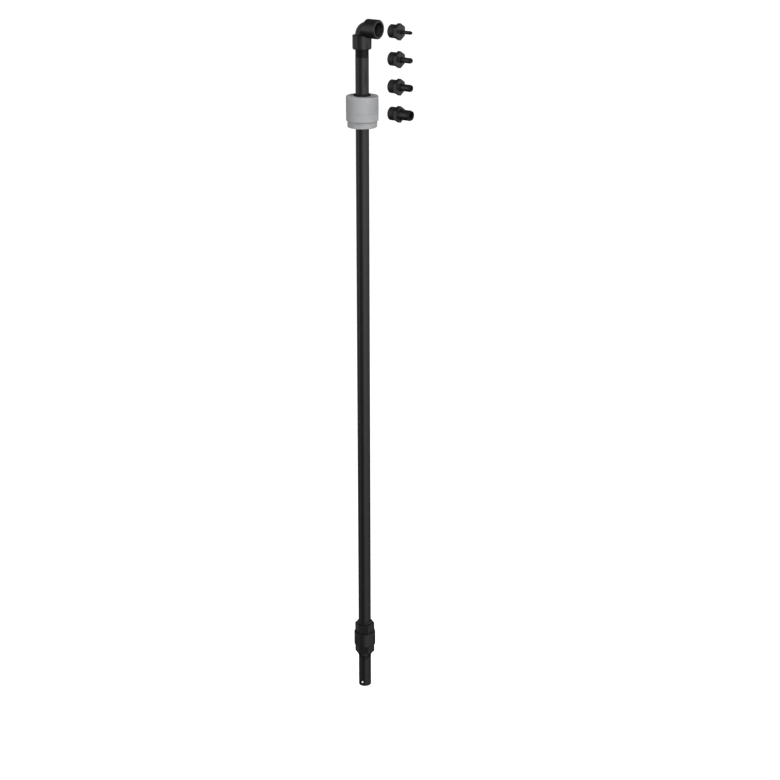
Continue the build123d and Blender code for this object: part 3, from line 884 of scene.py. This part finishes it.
def make_bung_cap():
    """Tall round cap, its plate clamping the grommet."""
    cap_r = CAP_HIGH.x
    low, top = CAP_LOW.z, CAP_HIGH.z
    inner_r = 26.03 * MM
    hole_r = 15.63 * MM
    plate = top - 7.7 * MM
    rows = rounded(
        (inner_r, plate),
        (inner_r, low),
        (cap_r - 0.35 * MM, low, 0.1 * MM),
        (cap_r, low + 0.35 * MM, 0.3 * MM),
        (cap_r, top, 1.4 * MM),
        (hole_r, top, 0.5 * MM),
        (hole_r, plate),
    )
    settle(turned_piece("bung_head", rows, "grey_plastic"), "bung", "grey_plastic", "bung_cap")


def make_bung_body():
    """Threaded spigot and the lower ring of the head."""
    low = BUNG_LOW.z
    head_r = BUNG_HIGH.x
    top = BUNG_HIGH.z
    split = CAP_LOW.z - FIT_GAP
    thread_r = 29.807 * MM
    lip_r = PIPE_R + 1.3 * MM
    upstand_r = 26.0 * MM
    bush_low, bush_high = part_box("guide_bush")
    bush_r = bush_high.x + 0.05 * MM
    ledge = bush_low.z - 0.2 * MM
    thread_top = 0.2 * MM
    gasket_low, gasket_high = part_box("bung_gasket")
    shoulder = gasket_low.z
    groove_top = gasket_high.z
    groove_r = gasket_high.x + FIT_GAP
    neck_r = 29.0 * MM
    thread = Thread(low + 0.8 * MM, thread_top + 0.4 * MM, BUNG_PITCH, 0.45 * MM)
    rows = rounded(
        (bush_r, ledge),
        (lip_r, ledge),
        (lip_r, low, 0.3 * MM),
        (thread_r - 1.1 * MM, low, 0.5 * MM),
        (thread_r, low + 1.1 * MM),
    )
    rows += thread.rows(thread_r, low + 1.2 * MM, thread_top)
    rows += rounded(
        (neck_r, thread_top + 0.3 * MM),
        (neck_r, groove_top),
        (groove_r, groove_top),
        (groove_r, shoulder),
        (head_r - 0.3 * MM, shoulder),
        (head_r, shoulder + 0.8 * MM, 0.4 * MM),
        (head_r, split - 0.35 * MM, 0.3 * MM),
        (head_r - 0.35 * MM, split, 0.1 * MM),
        (upstand_r, split),
        (upstand_r, top - 1.0 * MM),
        (upstand_r - 1.0 * MM, top),
        (bush_r, top),
    )
    settle(turned_piece("bung_base", rows, "grey_plastic"), "bung", "grey_plastic", "bung_body")


def make_grommet():
    """Rubber grommet; its soft lip stands round the pipe on top of the head."""
    inner_r = PIPE_R + 0.05 * MM
    sleeve_r = 18.0 * MM
    flange_r = 22.0 * MM
    neck_r = 15.6 * MM
    lip_r = 17.15 * MM
    low, top = LIP_LOW.z, LIP_HIGH.z
    lip_low = CAP_HIGH.z + 0.02 * MM
    flange_top = CAP_HIGH.z - 9.3 * MM
    flange_low = flange_top - 3.4 * MM
    rows = rounded(
        (inner_r, low),
        (sleeve_r, low, 0.4 * MM),
        (sleeve_r, flange_low),
        (flange_r, flange_low, 0.4 * MM),
        (flange_r, flange_top, 0.4 * MM),
        (neck_r, flange_top),
        (neck_r, lip_low),
        (lip_r, lip_low, 1.4 * MM),
        (lip_r, top, 2.3 * MM),
        (inner_r + 0.25 * MM, top, 0.8 * MM),
        (inner_r, top - 1.0 * MM),
    )
    settle(turned_piece("grommet_lip", rows, "black_rubber"), "bung", "black_rubber", "pipe_grommet")


# ---------------------------------------------------------------- the hose tails

HOSE_TAIL_BORES = {"06": 1.9 * MM, "10": 3.3 * MM, "13": 4.7 * MM, "19": 8.0 * MM}
HOSE_TAIL_BARBS = {"06": 3.65 * MM, "10": 5.55 * MM, "13": 7.10 * MM, "19": 10.45 * MM}


def make_hose_tail(size):
    """Male thread, hexagon, and a tail with one barb close to its tip."""
    low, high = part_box("hose_tail_" + size)
    corner_r = (high.z - low.z) / 2
    length = high.x - low.x
    barb_r = HOSE_TAIL_BARBS[size]
    bore_r = HOSE_TAIL_BORES[size]
    wide_bore_r = 9.025 * MM
    thread_length = 16.0 * MM
    relief_start = thread_length - 1.8 * MM
    relief_r = OUTLET_THREAD_R - 1.3 * MM
    hex_end = thread_length + 7.5 * MM
    shank_r = barb_r - 0.25 * MM
    root_r = 1.5 * MM
    barb_start = length - 5.4 * MM
    hexagon = Hexagon(corner_r, 0.6 * MM)
    wide = corner_r + HEX_CLEAR
    thread = Thread(0.6 * MM, relief_start + 0.4 * MM, PIPE_PITCH, 0.7 * MM)
    bore_step = 14.0 * MM
    bore_cone = bore_step + (wide_bore_r - bore_r) * tan(radians(30))

    rows = rounded(
        (bore_r, bore_cone),
        (wide_bore_r, bore_step),
        (wide_bore_r, 0, 0.4 * MM),
        (OUTLET_THREAD_R - 1.2 * MM, 0, 0.2 * MM),
        (OUTLET_THREAD_R, 1.2 * MM),
    )
    rows += thread.rows(OUTLET_THREAD_R, 1.3 * MM, relief_start - 0.1 * MM)
    rows += rounded(
        (OUTLET_THREAD_R - 0.1 * MM, relief_start),
        (relief_r, relief_start + 0.7 * MM, 0.3 * MM),
        (relief_r, thread_length),
    )
    chamfered = (hexagon.flat_r - HEX_END_STEP, wide)
    rows += hexagon.rows(chamfered, thread_length, thread_length + 1.0 * MM, 6)
    rows += hexagon.rows((wide, wide), thread_length + 1.3 * MM, hex_end - 0.15 * MM, 3)
    rows += hexagon.rows((corner_r - 0.1 * MM, corner_r - 0.25 * MM), hex_end - 0.1 * MM, hex_end, 1)
    rows += rounded(
        (shank_r + 2.1 * root_r, hex_end),
        (shank_r, hex_end, root_r),
        (shank_r, barb_start - 0.4 * MM),
        (barb_r, barb_start, 0.15 * MM),
        (barb_r, barb_start + 1.4 * MM, 0.5 * MM),
        (barb_r - 1.3 * MM, length, 0.4 * MM),
        (bore_r + 0.4 * MM, length, 0.15 * MM),
        (bore_r, length - 0.8 * MM),
    )
    piece = turned_piece("hose_adaptor_" + size, rows, "black_plastic", HEX_TURN)
    lay_outward(piece, low.x, (low.z + high.z) / 2)
    settle(piece, "tail_" + size, "black_plastic", "hose_tail_" + size)


make_suction_pipe()
make_elbow()
make_valve_top()
make_valve_body()
make_tail_pipe()
make_bung_cap()
make_bung_body()
make_grommet()
for hose_size in HOSE_TAILS:
    make_hose_tail(hose_size)


# ---------------------------------------------------------------- CAD nodes that stay

def finish_cad_nodes():
    """Give each CAD node that is still shown the finish of its slot."""
    slots = {part["node"]: part["material_slot"] for part in frame["record"]["subparts"]}
    for name, node in frame["nodes"].items():
        if node.hide_render:
            continue
        material = FINISHES[slots[name]]
        if not node.material_slots:
            node.data.materials.append(material)
        for place in node.material_slots:
            place.material = material


finish_cad_nodes()


# ---------------------------------------------------------------- floor and light

FLOOR_DROP = 0.9                    # from the lowest point to the floor
FLOOR_REACH = 60.0


def make_floor():
    """Wide pale floor, well below the hanging lance."""
    material, tree, shader = new_material("pale_floor")
    coordinates = add_node(tree, "ShaderNodeTexCoord")
    clouds = noise(tree, coordinates, "Object", 1.2, 3.0)
    tone = mix_colour(tree, clouds, "Fac", (0.93, 0.93, 0.93), (0.95, 0.95, 0.95))
    wire(tree, tone, 2, shader, "Base Color")
    shader.inputs["Roughness"].default_value = 0.9
    shader.inputs["Emission Color"].default_value = (1.0, 1.0, 1.0, 1.0)
    shader.inputs["Emission Strength"].default_value = 0.9
    mesh = bpy.data.meshes.new("floor")
    level = cad_bounds[0][2] - FLOOR_DROP
    signs = ((-1, -1), (1, -1), (1, 1), (-1, 1))
    corners = [(x * FLOOR_REACH, y * FLOOR_REACH, level) for x, y in signs]
    mesh.from_pydata(corners, [], [(0, 1, 2, 3)])
    mesh.materials.append(material)
    floor_piece = bpy.data.objects.new("floor", mesh)
    bpy.context.scene.collection.objects.link(floor_piece)
    floor_piece.visible_glossy = False
    floor_piece.visible_diffuse = False
    floor_piece.visible_shadow = False


def ramp(tree, source, socket, stops):
    """A value ramp through (position, brightness) stops."""
    node = add_node(tree, "ShaderNodeValToRGB")
    node.color_ramp.interpolation = "LINEAR"
    elements = node.color_ramp.elements
    elements[0].position = stops[0][0]
    elements[0].color = (stops[0][1],) * 3 + (1,)
    elements[1].position = stops[-1][0]
    elements[1].color = (stops[-1][1],) * 3 + (1,)
    for position, value in stops[1:-1]:
        element = elements.new(position)
        element.color = (value, value, value, 1)
    tree.links.new(source.outputs[socket], node.inputs["Fac"])
    return node


# Shares of the brightness round the lance: degrees to the right of the viewer, and the share there
WALL_PANELS = [
    (-180, 0.10), (-160, 0.14), (-142, 0.42), (-118, 0.42), (-104, 0.26), (-81, 0.26), (-77, 0.95),
    (-68, 0.95), (-62, 0.15), (-8, 0.15), (6, 0.95), (56, 0.98), (80, 0.58), (112, 0.62), (119, 0.08),
    (180, 0.08),
]
# Shares of the brightness from below to above: the sine of the height over the horizon, and the share there
HEIGHTS = [
    (-1.0, 0.60), (-0.96, 0.45), (-0.88, 0.03), (-0.62, 0.07), (-0.46, 0.27), (-0.31, 0.52), (-0.2, 0.95),
    (-0.14, 0.92), (0.0, 0.95), (0.25, 0.90), (0.62, 0.42), (0.8, 0.08), (1.0, 0.04),
]
STUDIO_BRIGHTNESS = 1.12
# Large soft lights: degrees to the right of the viewer and up, distance and size in metres, watts
SOFT_LIGHTS = {
    "key_light": (46, 54, 4.0, 2.4, 112.0),
    "fill_light": (-44, 22, 4.0, 2.4, 56.0),
    "side_light": (92, 8, 4.0, 2.4, 44.0),
    "floor_light": (10, -38, 4.0, 2.4, 20.0),
}


def make_studio():
    """Soft studio light as a room: bright wall panels round the lance, a dimmer ceiling, a dark pit below."""
    world = bpy.data.worlds.new("studio")
    bpy.context.scene.world = world
    world.use_nodes = True
    tree = world.node_tree
    background = tree.nodes["Background"]
    coordinates = add_node(tree, "ShaderNodeTexCoord")
    turn = add_node(tree, "ShaderNodeMapping", vector_type="POINT")
    turn.inputs["Rotation"].default_value = (0, 0, -(VIEW_AZIMUTH - radians(90)))
    wire(tree, coordinates, "Generated", turn, "Vector")
    radial = add_node(tree, "ShaderNodeTexGradient", gradient_type="RADIAL")
    wire(tree, turn, "Vector", radial, "Vector")
    walls = ramp(tree, radial, "Fac", [((angle + 180) / 360, value) for angle, value in WALL_PANELS])
    parts = add_node(tree, "ShaderNodeSeparateXYZ")
    wire(tree, coordinates, "Generated", parts, "Vector")
    lift = map_range(tree, parts, "Z", -1.0, 1.0)
    heights = ramp(tree, lift, "Result", [((sine + 1) / 2, value) for sine, value in HEIGHTS])
    product = math_node(tree, "MULTIPLY", (walls, "Color"), (heights, "Color"))
    strength = math_node(tree, "MULTIPLY", (product, 0), STUDIO_BRIGHTNESS)
    wire(tree, strength, 0, background, "Strength")
    background.inputs["Color"].default_value = (1, 1, 1, 1)
    bpy.context.scene.view_settings.view_transform = "Standard"


def make_soft_lights():
    """Broad lights that shape the matt surfaces and leave the gloss to the studio's panels."""
    middle = Vector((0, 0, (cad_bounds[0][2] + cad_bounds[1][2]) / 2))
    for name, (azimuth, height, distance, size, power) in SOFT_LIGHTS.items():
        data = bpy.data.lights.new(name, "AREA")
        data.shape = "DISK"
        data.size = size
        data.energy = power
        light = bpy.data.objects.new(name, data)
        bpy.context.scene.collection.objects.link(light)
        around = VIEW_AZIMUTH + radians(azimuth)
        rise = radians(height)
        towards = Vector((sin(around) * cos(rise), -cos(around) * cos(rise), sin(rise)))
        light.location = middle + towards * distance
        light.rotation_euler = towards.to_track_quat("Z", "Y").to_euler()
        light.visible_glossy = False
        light.visible_camera = False


make_floor()
make_studio()
make_soft_lights()
